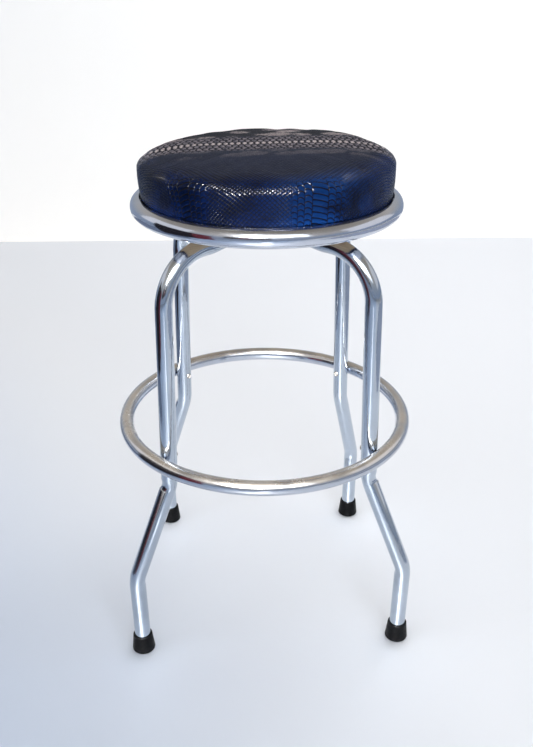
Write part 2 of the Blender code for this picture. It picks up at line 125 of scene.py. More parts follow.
def add_object(name, bm, surfaces, smooth_angle=40):
    """Turn a bmesh into a named object with outward faces, shaded smooth up to an angle."""
    bmesh.ops.recalc_face_normals(bm, faces=bm.faces)
    mesh = bpy.data.meshes.new(name)
    bm.to_mesh(mesh)
    bm.free()
    for surface in surfaces:
        mesh.materials.append(surface)
    mesh.shade_smooth()
    mesh.set_sharp_from_angle(angle=math.radians(smooth_angle))
    made = bpy.data.objects.new(name, mesh)
    bpy.context.collection.objects.link(made)
    return made


def polar(radius, degrees, z):
    turn = math.radians(degrees)
    return Vector((radius * math.cos(turn), radius * math.sin(turn), z))


def arc(centre, radius, start, end, steps):
    """Points (r, z) on an arc of a turned profile; angles in degrees from outward."""
    points = []
    for k in range(steps + 1):
        turn = math.radians(start + (end - start) * k / steps)
        points.append((centre[0] + radius * math.cos(turn), centre[1] + radius * math.sin(turn)))
    return points


def seat_centre(z):
    return Vector((SEAT_OFFSET, 0, z))


def turned(profile, sides, centre=lambda z: Vector((0, 0, z)), closed=False):
    """Turn (radius, z) points about an upright centre line; radius 0 is a pole."""
    bm = bmesh.new()
    rings = []
    for radius, z in profile:
        middle = centre(z)
        if radius == 0:
            rings.append([bm.verts.new(middle)])
            continue
        rings.append([bm.verts.new(middle + polar(radius, 360 * k / sides, 0)) for k in range(sides)])
    pairs = list(zip(rings, rings[1:]))
    if closed:
        pairs.append((rings[-1], rings[0]))
    for low, high in pairs:
        for i in range(sides):
            corners = []
            for ring, index in ((low, i), (low, i + 1), (high, i + 1), (high, i)):
                vert = ring[index % len(ring)]
                if vert not in corners:
                    corners.append(vert)
            if len(corners) > 2:
                bm.faces.new(corners)
    return bm


# ---------------------------------------------------------------- node helpers

class Nodes:
    """A material's node tree with short ways to add nodes and join them."""

    def __init__(self, name):
        self.material = bpy.data.materials.new(name)
        self.material.use_nodes = True
        self.tree = self.material.node_tree
        self.shader = self.tree.nodes["Principled BSDF"]

    def add(self, kind, inputs=None, **settings):
        node = self.tree.nodes.new(kind)
        for key, value in settings.items():
            setattr(node, key, value)
        for key, value in (inputs or {}).items():
            self.put(node.inputs[key], value)
        return node

    def put(self, socket, value):
        if isinstance(value, bpy.types.NodeSocket):
            self.tree.links.new(value, socket)
        else:
            socket.default_value = value

    def math(self, operation, a, b=0.0):
        return self.add("ShaderNodeMath", {0: a, 1: b}, operation=operation).outputs[0]

    def noise(self, scale, detail=3.0, vector=None, roughness=0.55, stretch=None):
        place = vector or self.add("ShaderNodeTexCoord").outputs["Object"]
        if stretch:
            place = self.add("ShaderNodeMapping", {"Vector": place, "Scale": stretch}).outputs[0]
        inputs = {"Vector": place, "Scale": scale, "Detail": detail, "Roughness": roughness}
        return self.add("ShaderNodeTexNoise", inputs).outputs["Fac"]

    def ramp(self, value, low, high, to_low=0.0, to_high=1.0):
        inputs = {"Value": value, "From Min": low, "From Max": high, "To Min": to_low, "To Max": to_high}
        return self.add("ShaderNodeMapRange", inputs, interpolation_type="SMOOTHSTEP").outputs[0]

    def mix(self, share, a, b):
        inputs = {0: share, 6: a, 7: b}
        return self.add("ShaderNodeMix", inputs, data_type="RGBA").outputs[2]

    def bump(self, height, strength, distance, normal=None):
        inputs = {"Height": height, "Strength": strength, "Distance": distance}
        if normal:
            inputs["Normal"] = normal
        return self.add("ShaderNodeBump", inputs).outputs[0]

    def set(self, **values):
        for key, value in values.items():
            self.put(self.shader.inputs[key.replace("_", " ")], value)


def rgb(red, green, blue):
    return (red, green, blue, 1.0)


# ---------------------------------------------------------------- materials

def chrome_material(name, clean, dull, wear_and_sheen):
    """Old chrome: smears, fine scratches and pits, and on upward faces a warm dullness from rubbing, its
    pale tint partly worn plating and partly a painted sheen.
    """
    n = Nodes(name)
    smear = n.noise(9.0, 4.0)
    fine = n.noise(420.0, 2.0)
    pits = n.noise(1500.0, 1.0)
    dark_pit = n.ramp(pits, 0.70, 0.76)
    up = n.add("ShaderNodeSeparateXYZ", {0: n.add("ShaderNodeNewGeometry").outputs["Normal"]}).outputs[2]
    patchy = n.ramp(n.noise(26.0, 5.0), 0.30, 0.62, 0.55, 1.0)
    # Upward faces, in patches: rubbing makes them rougher, and their warm pale tint is partly worn plating
    # and partly a painted sheen.
    rubbed_and_sheen = n.math("MULTIPLY", n.math("MULTIPLY", n.ramp(up, 0.15, 0.85), patchy), wear_and_sheen)
    metal = n.mix(n.ramp(smear, 0.35, 0.75), clean, dull)
    # Painted sheen, partly worn plating: the upward faces tinted warm and pale.
    metal = n.mix(rubbed_and_sheen, metal, rgb(0.80, 0.735, 0.65))
    n.set(Metallic=1.0, Base_Color=n.mix(dark_pit, metal, rgb(0.20, 0.17, 0.15)))
    rough = n.math("ADD", n.ramp(smear, 0.3, 0.8, 0.06, 0.13), n.math("MULTIPLY", fine, 0.04))
    rough = n.math("ADD", rough, n.math("MULTIPLY", rubbed_and_sheen, 0.22))
    n.set(Roughness=n.math("ADD", rough, n.math("MULTIPLY", dark_pit, 0.3)))
    wave = n.noise(38.0, 2.0)
    n.set(Normal=n.bump(fine, 0.06, 0.0003, n.bump(wave, 0.14, 0.0016)))
    return n.material


def steel_material(name, bright, dull, roughness):
    """Plated pressed steel with spangle, grime and handling marks."""
    n = Nodes(name)
    cells = n.add("ShaderNodeTexVoronoi", {"Vector": n.add("ShaderNodeTexCoord").outputs["Object"],
                                           "Scale": 170.0}).outputs["Color"]
    spangle = n.add("ShaderNodeSeparateColor", {"Color": cells}).outputs[0]
    grime = n.ramp(n.noise(34.0, 5.0), 0.42, 0.72)
    plate = n.mix(n.math("MULTIPLY", spangle, 0.5), bright, dull)
    n.set(Metallic=n.ramp(grime, 0.0, 1.0, 1.0, 0.55))
    n.set(Base_Color=n.mix(n.math("MULTIPLY", grime, 0.6), plate, rgb(0.10, 0.085, 0.07)))
    n.set(Roughness=n.math("ADD", n.math("MULTIPLY", spangle, 0.12), n.ramp(grime, 0, 1, roughness, 0.7)))
    n.set(Normal=n.bump(n.noise(600.0, 2.0), 0.12, 0.0004))
    return n.material


def rubber_material():
    """Moulded black rubber: a soft sheen, fine grain and pale dust low down."""
    n = Nodes("rubber")
    height = n.add("ShaderNodeSeparateXYZ", {0: n.add("ShaderNodeTexCoord").outputs["Object"]}).outputs[2]
    low_down = n.ramp(height, 0.0, DUST_TOP_Z, 1.0, 0.15)
    dust = n.math("MULTIPLY", low_down, n.ramp(n.noise(160.0, 5.0), 0.45, 0.75))
    n.set(Base_Color=n.mix(dust, rgb(0.003, 0.003, 0.0045), rgb(0.04, 0.04, 0.042)))
    n.set(Roughness=n.ramp(n.noise(90.0, 3.0), 0.3, 0.7, 0.34, 0.52))
    n.set(Normal=n.bump(n.noise(900.0, 3.0), 0.25, 0.0004))
    n.set(Specular_IOR_Level=0.09)
    return n.material


def plywood_material():
    """Rotary-cut plywood seen from below: long grain, fine pores and a stained patch or two."""
    n = Nodes("plywood")
    grain = n.noise(26.0, 6.0, stretch=(1.0, 9.0, 1.0), roughness=0.62)
    pores = n.noise(260.0, 2.0, stretch=(0.6, 12.0, 1.0))
    stain = n.ramp(n.noise(11.0, 3.0), 0.50, 0.80)
    wood = n.mix(n.ramp(grain, 0.3, 0.7), rgb(0.46, 0.31, 0.17), rgb(0.66, 0.50, 0.32))
    wood = n.mix(n.ramp(pores, 0.60, 0.72), wood, rgb(0.22, 0.13, 0.07))
    n.set(Base_Color=n.mix(n.math("MULTIPLY", stain, 0.35), wood, rgb(0.24, 0.16, 0.10)))
    n.set(Roughness=n.ramp(grain, 0.2, 0.8, 0.62, 0.82))
    n.set(Normal=n.bump(n.math("SUBTRACT", grain, n.math("MULTIPLY", pores, 0.6)), 0.3, 0.0006))
    return n.material


# ---------------------------------------------------------------- legs

def upper_radius(z):
    """Distance of the upper run's centreline from the axis; it touches the foot ring."""
    contact = RING_RADIUS - RING_TUBE_RADIUS - CONTACT_GAP - TUBE_RADIUS
    return contact - LEG_LEAN * (z - RING_Z)


def foot_axis(name):
    foot = polar(FOOT_RADIUS, LEG_DIRECTIONS[name][1], 0)
    kink = polar(LOWER_KINK_RADIUS, LEG_DIRECTIONS[name][1], LOWER_KINK_Z)
    return lambda z: foot.lerp(kink, z / LOWER_KINK_Z)


def bend(before, corner, after, radius, steps):
    """Replace a corner by an arc: (point, tangent, inward normal, share of the way round)."""
    into = (corner - before).normalized()
    out = (after - corner).normalized()
    turn = into.angle(out)
    start = corner - into * radius * math.tan(turn / 2)
    normal = (out - into * into.dot(out)).normalized()
    centre = start + normal * radius
    stations = []
    for k in range(steps + 1):
        a = turn * k / steps
        point = centre + radius * (into * math.sin(a) - normal * math.cos(a))
        stations.append((point, into * math.cos(a) + normal * math.sin(a),
                         into * -math.sin(a) + normal * math.cos(a), k / steps))
    return stations


def leg_stations(name):
    """Sections of a leg: point, tangent, flatness, bend normal and how deep the bend dents it."""
    upper = LEG_DIRECTIONS[name][0]
    foot = foot_axis(name)(LEG_FOOT_Z)
    lower_kink = foot_axis(name)(LOWER_KINK_Z)
    upper_kink = polar(upper_radius(UPPER_KINK_Z), upper, UPPER_KINK_Z)
    elbow = polar(upper_radius(LEG_TOP_Z), upper, LEG_TOP_Z)
    inner = polar(FLAT_END_RADIUS, upper, LEG_TOP_Z)
    stations = [(foot, Z_AXIS, 0.0, Vector((0, 0, 0)), 0.0)]
    corners = ((foot, lower_kink, upper_kink, BEND_RADIUS, ELBOW_DENT, KINK_STEPS),
               (lower_kink, upper_kink, elbow, BEND_RADIUS, KINK_DENT, KINK_STEPS),
               (upper_kink, elbow, inner, ELBOW_RADIUS, ELBOW_DENT, ELBOW_STEPS))
    for before, corner, after, radius, dent, steps in corners:
        for point, tangent, normal, share in bend(before, corner, after, radius, steps):
            depth = dent * math.sin(math.pi * share ** DENT_SKEW)
            stations.append((point, tangent, 0.0, normal, depth))
    inward = (inner - elbow).normalized()
    for k in range(FLAT_STEPS + 1):
        share = k / FLAT_STEPS
        radius = FLAT_START_RADIUS + (FLAT_FULL_RADIUS - FLAT_START_RADIUS) * share
        flatness = share * share * (3 - 2 * share)
        stations.append((polar(radius, upper, LEG_TOP_Z), inward, flatness, Vector((0, 0, 0)), 0.0))
    stations.append((inner, inward, 1.0, Vector((0, 0, 0)), 0.0))
    return stations


def leg_loop(station, side):
    """Section of the tube: round, dented in a bend, or pressed flat to the same girth."""
    point, tangent, flatness, normal, dent = station
    across = (side - tangent * side.dot(tangent)).normalized()
    up = across.cross(tangent)
    half_height = TUBE_RADIUS + (FLAT_HALF_THICKNESS - TUBE_RADIUS) * flatness
    half_width = half_height + math.pi / 2 * (TUBE_RADIUS - half_height)
    straight = half_width - half_height
    loop = []
    for k in range(TUBE_SIDES):
        a = 2 * math.pi * (k + 0.5) / TUBE_SIDES
        shift = math.copysign(straight, math.cos(a))
        offset = across * (shift + half_height * math.cos(a)) + up * half_height * math.sin(a)
        outward = -normal.dot(offset) / TUBE_RADIUS
        give = OUTER_DENT if outward > 0 else 1.0
        offset += normal * dent * give * outward
        loop.append(point + offset)
    return loop


def make_legs(chrome):
    for name, (upper, _) in LEG_DIRECTIONS.items():
        side = polar(1, upper + 90, 0)
        bm = bmesh.new()
        rings = [[bm.verts.new(p) for p in leg_loop(s, side)] for s in leg_stations(name)]
        for low, high in zip(rings, rings[1:]):
            for i in range(TUBE_SIDES):
                j = (i + 1) % TUBE_SIDES
                bm.faces.new((low[i], low[j], high[j], high[i]))
        bm.faces.new(rings[0])
        bm.faces.new(rings[-1])
        leg = add_object("chrome_leg_" + name, bm, [chrome])
        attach(leg, "frame")
        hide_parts("leg_" + name)


# ---------------------------------------------------------------- foot ring and its screws

def make_foot_ring(chrome):
    profile = arc((RING_RADIUS, RING_Z), RING_TUBE_RADIUS, 0, 360, 40)[:-1]
    ring = add_object("chrome_foot_ring", turned(profile, RING_SIDES, closed=True), [chrome])
    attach(ring, "frame")
    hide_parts("foot_ring")


def cross_screw(radius, height, shank, length):
    """A screw with a domed, cross-recessed head standing on z = 0 and its shank below."""
    bm = bmesh.new()
    rings, sides = 16, 48
    loops = []
    for i in range(rings + 1):
        share = i / rings
        loop = []
        for k in range(sides):
            a = 2 * math.pi * k / sides
            x, y = radius * share * math.cos(a), radius * share * math.sin(a)
            z = height * (1 - 0.75 * share ** 2.6)
            arm = min(abs(x), abs(y)) / (RECESS_ARM * radius)
            reach = max(abs(x), abs(y)) / (RECESS_REACH * radius)
            if arm < 1 and reach < 1:
                z -= RECESS_DEPTH * height * (1 - reach ** 3) * (1 - arm ** 4)
            loop.append(Vector((x, y, z)))
        loops.append(loop)
    top = bm.verts.new(loops[0][0])
    previous = None
    for loop in loops[1:]:
        ring = [bm.verts.new(p) for p in loop]
        for i in range(sides):
            j = (i + 1) % sides
            if previous is None:
                bm.faces.new((top, ring[i], ring[j]))
            else:
                bm.faces.new((previous[i], previous[j], ring[j], ring[i]))
        previous = ring
    for size, z in ((radius, 0), (shank, 0), (shank, -length + 0.8 * shank), (0.4 * shank, -length)):
        ring = [bm.verts.new(polar(size, 360 * k / sides, z)) for k in range(sides)]
        for i in range(sides):
            j = (i + 1) % sides
            bm.faces.new((previous[i], previous[j], ring[j], ring[i]))
        previous = ring
    bm.faces.new(previous)
    return bm


def make_ring_screws(steel):
    seat = upper_radius(RING_Z) - TUBE_RADIUS - CONTACT_GAP
    length = RING_RADIUS - RING_TUBE_RADIUS + SCREW_BITE - seat
    for name, (upper, _) in LEG_DIRECTIONS.items():
        bm = cross_screw(SCREW_HEAD_RADIUS, SCREW_HEAD_HEIGHT, SCREW_SHANK_RADIUS, length)
        screw = add_object("cross_screw_" + name, bm, [steel], 50)
        turn = Z_AXIS.rotation_difference(-polar(1, upper, 0)).to_matrix().to_4x4()
        screw.matrix_world = Matrix.Translation(polar(seat, upper, RING_Z)) @ turn
        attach(screw, "frame")
        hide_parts("ring_screw_" + name)


# ---------------------------------------------------------------- rubber tips

def make_tips(rubber):
    bore = TUBE_RADIUS + CONTACT_GAP
    edge = arc((TIP_BOTTOM_RADIUS - TIP_EDGE, TIP_EDGE), TIP_EDGE, -90, 0, 8)
    lip = arc((TIP_TOP_RADIUS - TIP_LIP, TIP_HEIGHT - TIP_LIP), TIP_LIP, 0, 90, 6)
    tread = []
    for start in TREAD_RADII:
        end = start + TREAD_WIDTH
        near, far = start + TREAD_SLOPE, end - TREAD_SLOPE
        tread += [(start, 0), (near, TREAD_DEPTH), (far, TREAD_DEPTH), (end, 0)]
    inside = [(bore, TIP_HEIGHT - TIP_MOUTH), (bore, TIP_FLOOR), (0, TIP_FLOOR)]
    profile = [(0, 0)] + tread + edge + lip + inside
    for name in LEG_DIRECTIONS:
        tip = add_object("rubber_tip_" + name, turned(profile, 72, foot_axis(name)), [rubber], 50)
        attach(tip, "frame")
        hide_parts("tip_" + name)


# ---------------------------------------------------------------- seat ring

def make_seat_ring(chrome):
    centre = (SEAT_RING_RADIUS, SEAT_RING_Z)
    low = SEAT_RING_Z - SEAT_RING_SECTION
    profile = arc(centre, SEAT_RING_SECTION, SEAT_RING_LIP, -90, 30)
    profile += [(SEAT_RING_FLANGE_RADIUS, low), (SEAT_RING_FLANGE_RADIUS, low + SEAT_RING_WALL)]
    profile += arc(centre, SEAT_RING_SECTION - SEAT_RING_WALL, -90, SEAT_RING_LIP, 16)
    ring = add_object("chrome_seat_ring", turned(profile, RING_SIDES, seat_centre, closed=True), [chrome])
    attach(ring, "seat")
    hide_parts("seat_ring")


# ---------------------------------------------------------------- snakeskin emboss

# All lengths of the emboss are millimetres on the flat vinyl sheet
SCALE_WIDTH = 5.3
SCALE_HEIGHT = 5.9
SCALE_DOME = 2.4                   # power of a scale's dome: higher is flatter, with thinner gaps
PLATE_HALF_WIDTH = 8.6
PLATE_PITCH = 7.8
PLATE_COLUMNS = (52, -95)          # columns of broad plates down the front and the back
SPINE_Y = 6                        # the pale line of plates that crosses the top from side to side
SPINE_PITCH = 9.1
PLATE_FLANKS = (8.0, 7.0, 6.0, 5.0)    # widths of the narrower columns on each side of the plates
SPINE_FLANKS = (17.0, 14.0, 12.0)
PLATE_FADE = 12                    # plates give way to small scales over this much at their edges
COLUMN_START, COLUMN_FULL = 18, 40     # distances down the side between which the columns set in


class Arrays:
    """The few sums that the emboss needs, on numpy arrays, named as in Nodes."""

    SUMS = {"ADD": np.add, "SUBTRACT": np.subtract, "MULTIPLY": np.multiply, "DIVIDE": np.divide,
            "MINIMUM": np.minimum, "MAXIMUM": np.maximum, "POWER": np.power}

    def math(self, operation, a, b=0.0):
        if operation == "FRACT":
            return a - np.floor(a)
        if operation == "ABSOLUTE":
            return np.abs(a)
        if operation == "SINE":
            return np.sin(a)
        return self.SUMS[operation](a, b)

    def ramp(self, value, low, high):
        share = np.clip((value - low) / (high - low), 0, 1)
        return share * share * (3 - 2 * share)


def blend(ops, share, a, b):
    return ops.math("ADD", a, ops.math("MULTIPLY", share, ops.math("SUBTRACT", b, a)))


def off_centre(ops, share):
    """0 in the middle of a 0..1 cell and 1 at its two ends."""
    return ops.math("ABSOLUTE", ops.math("SUBTRACT", ops.math("MULTIPLY", share, 2.0), 1.0))


def diamonds(ops, u, v):
    """Small rhombic scales in crossing rows, each a low dome that rises towards its free corner."""
    wave = ops.math("MULTIPLY", ops.math("SINE", ops.math("MULTIPLY", v, 0.11)), 0.6)
    along = ops.math("DIVIDE", ops.math("ADD", u, wave), SCALE_WIDTH)
    up = ops.math("DIVIDE", v, SCALE_HEIGHT)
    first = ops.math("FRACT", ops.math("ADD", along, up))
    second = ops.math("FRACT", ops.math("SUBTRACT", along, up))
    edge = ops.math("MAXIMUM", off_centre(ops, first), off_centre(ops, second))
    dome = ops.math("SUBTRACT", 1.0, ops.math("POWER", edge, SCALE_DOME))
    free = ops.math("SUBTRACT", second, first)
    return ops.math("MULTIPLY", dome, ops.math("ADD", 0.7, ops.math("MULTIPLY", free, 0.3)))


def plates(ops, across, along, pitch, flanks):
    """Broad plates one after another with staggered narrower columns beside them.

    across is the distance from the column's middle; along runs to each plate's bowed free edge.
    """
    height = 0.0
    inner, shift, bow = -PLATE_HALF_WIDTH, 0.0, -0.10
    for width in (2 * PLATE_HALF_WIDTH,) + flanks:
        place = ops.math("DIVIDE", ops.math("SUBTRACT", across, inner), width)
        side = ops.math("MINIMUM", off_centre(ops, place), 1.0)
        bulge = ops.math("SUBTRACT", 1.0, ops.math("POWER", side, 8.0))
        bowed = ops.math("MULTIPLY", ops.math("MULTIPLY", side, side), bow)
        run = ops.math("ADD", ops.math("DIVIDE", along, pitch), ops.math("ADD", bowed, shift))
        step = ops.math("FRACT", run)
        rise = ops.math("MULTIPLY", ops.ramp(step, 0.0, 0.30), ops.ramp(step, 1.0, 0.80))
        lift = ops.math("ADD", 0.55, ops.math("MULTIPLY", step, 0.45))
        height = ops.math("MAXIMUM", height, ops.math("MULTIPLY", ops.math("MULTIPLY", rise, lift), bulge))
        inner += width
        shift = 0.5 - shift
        bow = -0.30
    return height


def snakeskin(ops, u, v, drop):
    """Emboss height 0..1, the spine's share at a place on the sheet and its distance from the spine."""
    columns = [ops.math("ABSOLUTE", ops.math("SUBTRACT", u, middle)) for middle in PLATE_COLUMNS]
    nearest = ops.math("MINIMUM", *columns)
    spine_off = ops.math("ABSOLUTE", ops.math("SUBTRACT", v, SPINE_Y))
    plate_reach = PLATE_HALF_WIDTH + sum(PLATE_FLANKS)
    spine_reach = PLATE_HALF_WIDTH + sum(SPINE_FLANKS)
    beside = ops.ramp(nearest, plate_reach, plate_reach - PLATE_FADE)
    column = ops.math("MULTIPLY", beside, ops.ramp(drop, COLUMN_START, COLUMN_FULL))
    spine = ops.ramp(spine_off, spine_reach, spine_reach - PLATE_FADE)
    column_plates = plates(ops, nearest, ops.math("ABSOLUTE", v), PLATE_PITCH, PLATE_FLANKS)
    height = blend(ops, spine, diamonds(ops, u, v), plates(ops, spine_off, u, SPINE_PITCH, SPINE_FLANKS))
    return blend(ops, column, height, column_plates), spine, spine_off


# ---------------------------------------------------------------- cushion

CUSHION_TILT = 0.0167              # the worn filling stands a little higher on the right
CUSHION_SHRINK = 5 * MM            # the simulated skin starts this much smaller, then swells
SWELL_CAP = 4 * MM
SWELL_REACH = 60 * MM              # how far from the skin the swollen form is looked for
SWELL_SMOOTHING = 60
VOXEL_SIZE = 6 * MM
CLOTH_FRAMES = 20
CLOTH_PRESSURE = 3
CLOTH_TENSION = 60
CLOTH_COMPRESSION = 30
CLOTH_BENDING = 4
HELD_HEIGHT = 9 * MM               # the foot of the skin that the simulation holds still
SKIN_BOTTOM_Z = 691.3 * MM
SKIN_GRID = 300
SHOULDER_START = 150.0             # mm along the sheet from the middle to where the side turns down
STRAIGHT_DROP = 26                 # degrees beside front and back over which the sheet falls straight
EMBOSS_DEPTH = 0.45 * MM
FREE_ABOVE_BASE = 8 * MM           # swell and emboss start this far above the cushion's base,
FREE_BLEND = 20 * MM               # reach full depth over this height,
FREE_BEFORE_HEM = 60 * MM          # and stop this far along the skin before the hem's edge


def cushion_outline(inset, side_steps, top_steps):
    """(r, z) points up the cushion's side and over its top, moved in by inset."""
    base, widest, top = COVER_BASE_RADIUS - inset, CUSHION_RADIUS - inset, CUSHION_TOP_Z - inset
    across, up = CUSHION_SHOULDER
    points = []
    for k in range(side_steps):
        share = k / side_steps
        points.append((base + (widest - base) * math.sin(share * math.pi / 2),
                       CUSHION_BASE_Z + (CUSHION_WIDEST_Z - CUSHION_BASE_Z) * share))
    for k in range(top_steps):
        a = math.pi / 2 * k / top_steps
        points.append((widest * math.cos(a) ** (2 / across),
                       CUSHION_WIDEST_Z + (top - CUSHION_WIDEST_Z) * math.sin(a) ** (2 / up)))
    points.append((0, top))
    return points


def evaluated_mesh(shape):
    """The object's mesh as its modifiers leave it, at the present frame."""
    return bpy.data.meshes.new_from_object(shape.evaluated_get(bpy.context.evaluated_depsgraph_get()))


def swollen_skin():
    """Swell a slightly small cushion by cloth simulation; returns a tree to measure its surface."""
    outline = [(0, CUSHION_BASE_Z)] + cushion_outline(CUSHION_SHRINK, 12, 40)
    rough = add_object("swelling_form", turned(outline, 96, seat_centre), [])
    voxels = rough.modifiers.new("voxels", "REMESH")
    voxels.mode = "VOXEL"
    voxels.voxel_size = VOXEL_SIZE
    skin = bpy.data.objects.new("swelling_skin", evaluated_mesh(rough))
    bpy.context.collection.objects.link(skin)
    held = skin.vertex_groups.new(name="held")
    low = [v.index for v in skin.data.vertices if v.co.z < CUSHION_BASE_Z + HELD_HEIGHT]
    held.add(low, 1.0, "REPLACE")
    cloth = skin.modifiers.new("cloth", "CLOTH")
    cloth.settings.use_pressure = True
    cloth.settings.uniform_pressure_force = CLOTH_PRESSURE
    cloth.settings.tension_stiffness = CLOTH_TENSION
    cloth.settings.compression_stiffness = CLOTH_COMPRESSION
    cloth.settings.bending_stiffness = CLOTH_BENDING
    cloth.settings.vertex_group_mass = "held"
    cloth.settings.effector_weights.gravity = 0
    cloth.point_cache.frame_end = CLOTH_FRAMES
    scene = bpy.context.scene
    for number in range(1, CLOTH_FRAMES + 1):
        scene.frame_set(number)
    skin.modifiers.new("smooth", "SUBSURF").levels = 1
    swollen = evaluated_mesh(skin)
    tree = BVHTree.FromPolygons([v.co for v in swollen.vertices], [p.vertices for p in swollen.polygons])
    scene.frame_set(1)
    for spare in (rough, skin):
        bpy.data.objects.remove(spare)
    return tree


def disc_grid(count):
    """A square grid bent on to a disc: share of the way out and angle of every point."""
    line = np.linspace(-1, 1, count + 1)
    a, b = np.meshgrid(line, line)
    wide = np.abs(a) > np.abs(b)
    safe_a = np.where(a == 0, 1, a)
    safe_b = np.where(b == 0, 1, b)
    share = np.where(wide, a, b)
    angle = np.where(wide, np.pi / 4 * b / safe_a, np.pi / 2 - np.pi / 4 * a / safe_b)
    angle = np.where((a == 0) & (b == 0), 0, angle)
    return np.abs(share), angle + np.where(share < 0, np.pi, 0)


def skin_profile():
    """The cover's outer profile from the middle of the top to its edge under the board."""
    edge = arc((COVER_BASE_RADIUS - COVER_EDGE, SKIN_BOTTOM_Z + COVER_EDGE), COVER_EDGE, 0, -90, 8)
    profile = cushion_outline(0, 12, 160)[::-1] + edge + [(COVER_HEM_RADIUS, SKIN_BOTTOM_Z)]
    radii, heights = np.array(profile).T
    lengths = np.concatenate([[0], np.cumsum(np.hypot(np.diff(radii), np.diff(heights)))])
    return radii, heights, lengths


def smoothed(field, times):
    """Average every point of a grid with its neighbours, over and over."""
    for _ in range(times):
        wide = np.pad(field, 1, mode="edge")
        field = (wide[:-2, 1:-1] + wide[2:, 1:-1] + wide[1:-1, :-2] + wide[1:-1, 2:] + 4 * field) / 8
    return field


def surface_normals(points):
    """Unit normals of a grid of points, pointing out of the cushion."""
    across = np.gradient(points, axis=1)
    along = np.gradient(points, axis=0)
    normal = np.cross(across, along)
    return normal / np.linalg.norm(normal, axis=2, keepdims=True)


def swelling(points, normals, tree):
    """Uneven swell of the simulated skin, smoothed and capped; every ring of points keeps its mean."""
    count = points.shape[0]
    field = np.zeros((count, count))
    for i in range(0, count, 2):
        for j in range(0, count, 2):
            start = Vector(points[i, j] + normals[i, j] * SWELL_REACH)
            hit = tree.ray_cast(start, Vector(-normals[i, j]), 2 * SWELL_REACH)
            field[i:i + 2, j:j + 2] = SWELL_REACH - hit[3] if hit[0] else 0
    field = smoothed(field, SWELL_SMOOTHING)
    steps = np.abs(np.arange(count) - count // 2)
    ring = np.maximum(steps[:, None], steps[None, :])
    mean = np.bincount(ring.ravel(), field.ravel()) / np.bincount(ring.ravel())
    return SWELL_CAP * np.tanh((field - mean[ring]) / SWELL_CAP)


def sheet_places(share, angle, lengths):
    """Where each grid point lies on the flat sheet, in mm, and how far down the side it is."""
    out = share * lengths[-1] / MM
    cosine, sine = np.cos(angle), np.sin(angle)
    drop = np.maximum(out - SHOULDER_START, 0)
    beside = np.degrees(np.arctan2(np.abs(cosine), np.abs(sine)))
    turn = np.pi / 2 * Arrays().ramp(beside, STRAIGHT_DROP, 90)
    top = np.minimum(out, SHOULDER_START)
    u = top * cosine + drop * np.sign(cosine) * np.sin(turn)
    v = top * sine + drop * np.sign(sine) * np.cos(turn)
    return u, v, drop


def skin_points():
    """Grid of points over top, side and turned-under hem, embossed, and their places on the flat sheet."""
    share, angle = disc_grid(SKIN_GRID)
    radii, heights, lengths = skin_profile()
    out = share * lengths[-1]
    radius = np.interp(out, lengths, radii)
    z = np.interp(out, lengths, heights)
    points = np.stack([SEAT_OFFSET + radius * np.cos(angle), radius * np.sin(angle), z], axis=2)
    above_ring = np.clip((z - CUSHION_BASE_Z - FREE_ABOVE_BASE) / FREE_BLEND, 0, 1)
    free = above_ring * (out < lengths[-1] - FREE_BEFORE_HEM)
    normals = surface_normals(points)
    field = swelling(points, normals, swollen_skin())
    points += normals * (field * free)[:, :, None]
    u, v, drop = sheet_places(share, angle, lengths)
    height = snakeskin(Arrays(), u, v, drop)[0]
    points += surface_normals(points) * (height * EMBOSS_DEPTH * free)[:, :, None]
    rise = np.clip((z - CUSHION_BASE_Z) / (CUSHION_TOP_Z - CUSHION_BASE_Z), 0, 1)
    points[:, :, 2] += CUSHION_TILT * points[:, :, 0] * rise
    return points, u, v, drop


def close_skin(bm, rim):
    """Take the skin from the hem's edge up inside the cover and across under the foam."""
    inner_wall = COVER_BASE_RADIUS - COVER_THICKNESS
    hem_top = SKIN_BOTTOM_Z + COVER_THICKNESS
    for radius, level in ((COVER_HEM_RADIUS, hem_top), (inner_wall, hem_top), (inner_wall, CUSHION_BASE_Z)):
        ring = []
        for vert in rim:
            away = Vector((vert.co.x - SEAT_OFFSET, vert.co.y, 0)).normalized() * radius
            ring.append(bm.verts.new(seat_centre(level) + away))
        for k, vert in enumerate(rim):
            after = (k + 1) % len(rim)
            bm.faces.new((vert, rim[after], ring[after], ring[k]))
        rim = ring
    middle = bm.verts.new(seat_centre(CUSHION_BASE_Z))
    for k, vert in enumerate(rim):
        bm.faces.new((vert, rim[(k + 1) % len(rim)], middle))


def make_cushion(vinyl):
    """The cushion as one closed skin, each point knowing its place on the flat sheet of vinyl."""
    points, u, v, drop = skin_points()
    bm = bmesh.new()
    sheet = bm.verts.layers.float_vector.new("sheet")
    rows = []
    for i in range(SKIN_GRID + 1):
        row = []
        for j in range(SKIN_GRID + 1):
            vert = bm.verts.new(points[i, j])
            vert[sheet] = (u[i, j], v[i, j], drop[i, j])
            row.append(vert)
        rows.append(row)
    for i in range(SKIN_GRID):
        for j in range(SKIN_GRID):
            bm.faces.new((rows[i][j], rows[i][j + 1], rows[i + 1][j + 1], rows[i + 1][j]))
    last_column = [row[-1] for row in rows[:-1]]
    first_column = [row[0] for row in rows[:0:-1]]
    close_skin(bm, rows[0][:-1] + last_column + rows[-1][:0:-1] + first_column)

    cushion = add_object("seat_cushion", bm, [vinyl], 60)
    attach(cushion, "seat")
    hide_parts("seat_cover", "seat_foam")


